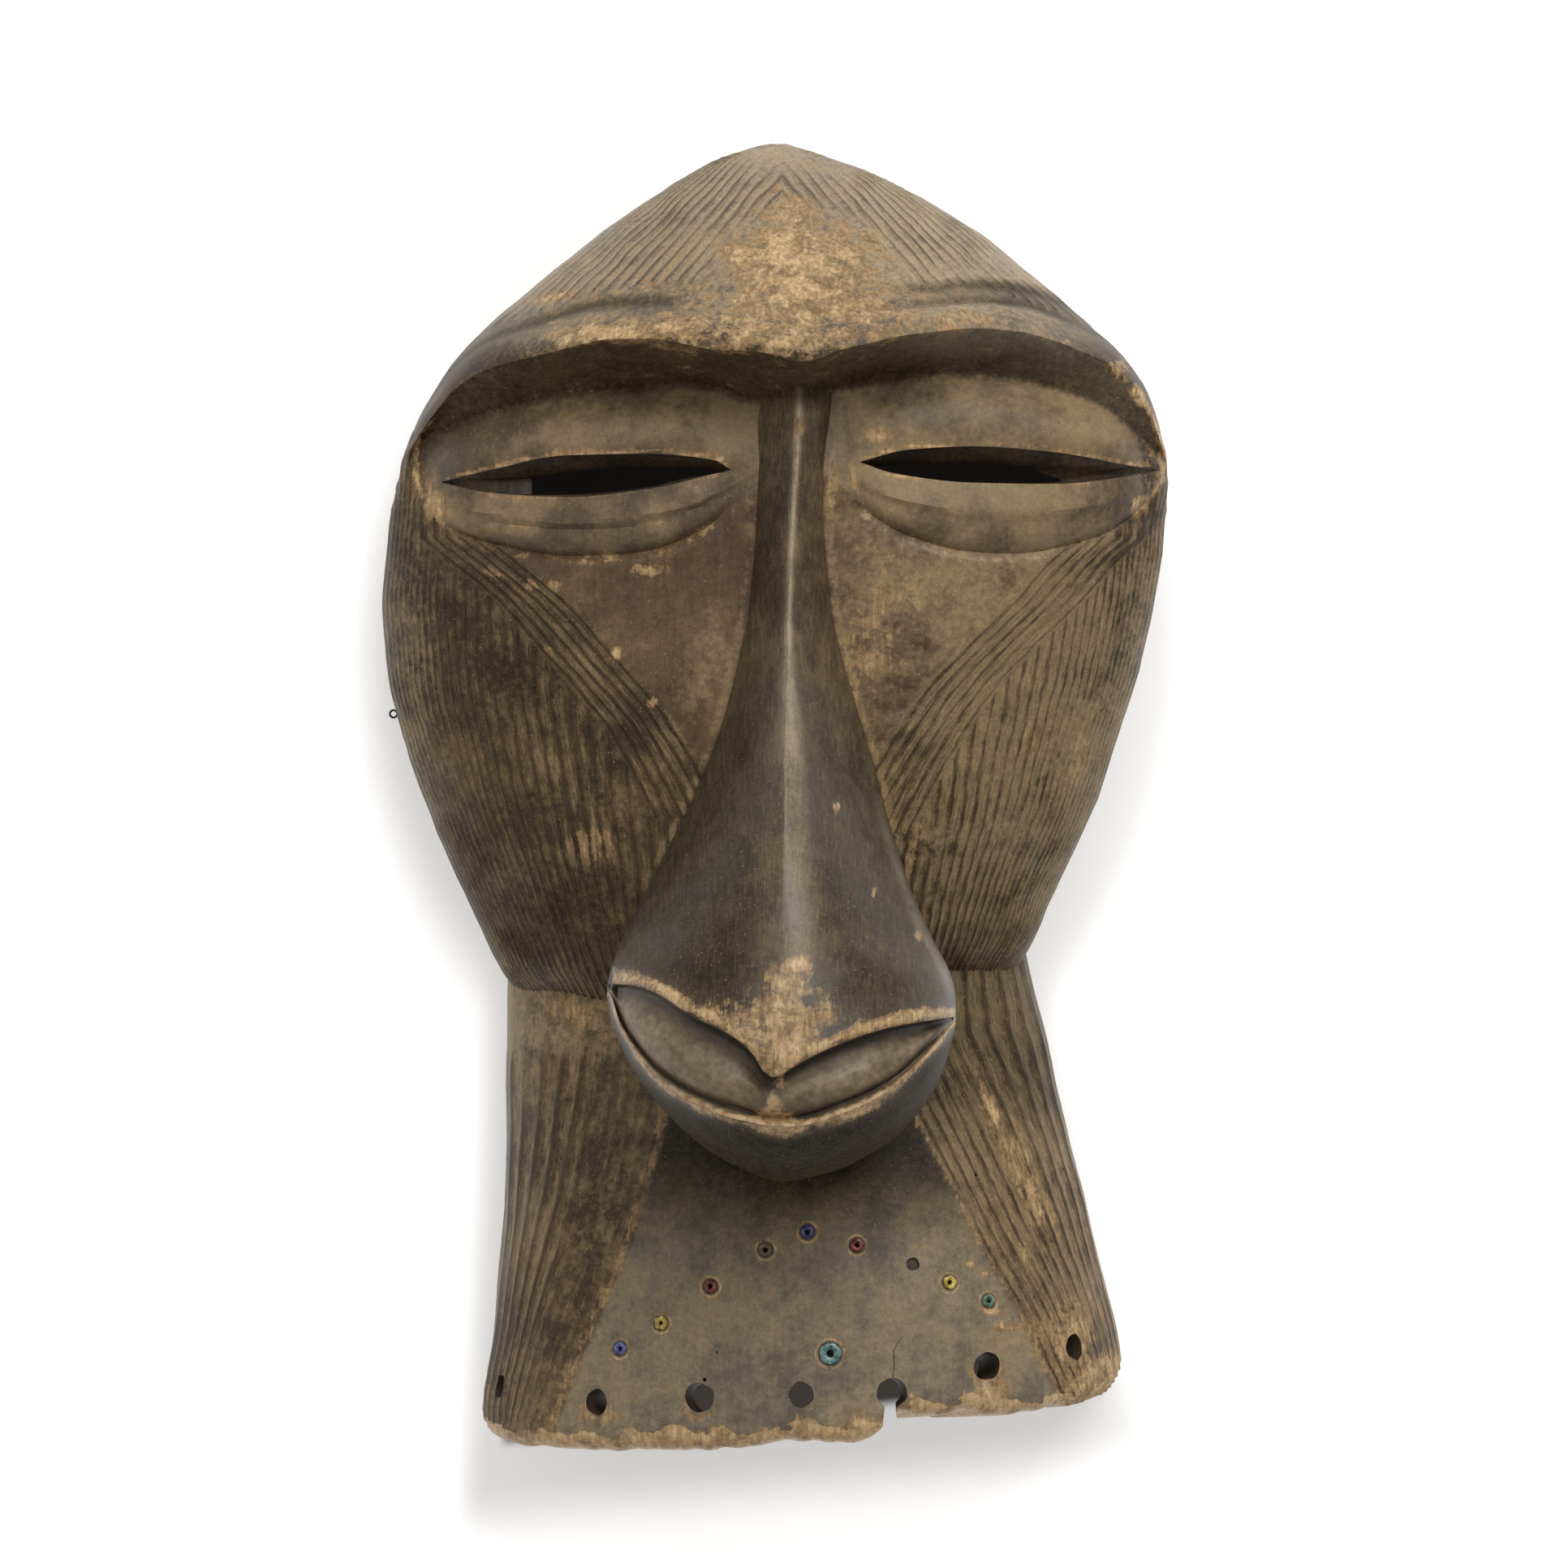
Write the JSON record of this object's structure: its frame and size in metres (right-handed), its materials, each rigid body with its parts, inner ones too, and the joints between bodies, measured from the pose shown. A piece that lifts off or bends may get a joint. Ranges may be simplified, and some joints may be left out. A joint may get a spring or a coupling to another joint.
{
  "type": "carved wooden monkey mask",
  "caption": "Carved wooden monkey face mask with slit eyes, a long nose, a curved mouth and a flared neck with costume holes and inset beads.",
  "frame": {"origin": "middle of the footprint on the plane of the back rim, the mask lying face up", "axes": "+X to the right of someone looking at the face, +Y towards the crown, +Z out of the face"},
  "size_m": [0.2108, 0.3508, 0.161],
  "materials": {
    "wood": "dark brown patina, worn to tan on brow, lips and rim",
    "bead_blue": "satin glass",
    "bead_red": "satin glass",
    "bead_brown": "dull, covered with patina",
    "bead_yellow": "satin glass",
    "bead_green": "satin glass",
    "bead_turquoise": "glossy glass",
    "wire": "dark tarnished wire"
  },
  "bodies": {
    "root": {"mask": "wood", "bead_blue_upper": "bead_blue", "bead_blue_lower": "bead_blue", "bead_red_upper": "bead_red", "bead_red_lower": "bead_red", "bead_brown": "bead_brown", "bead_yellow_right": "bead_yellow", "bead_yellow_left": "bead_yellow", "bead_green": "bead_green", "bead_turquoise": "bead_turquoise", "wire_eye": "wire"}
  },
  "joints": []
}
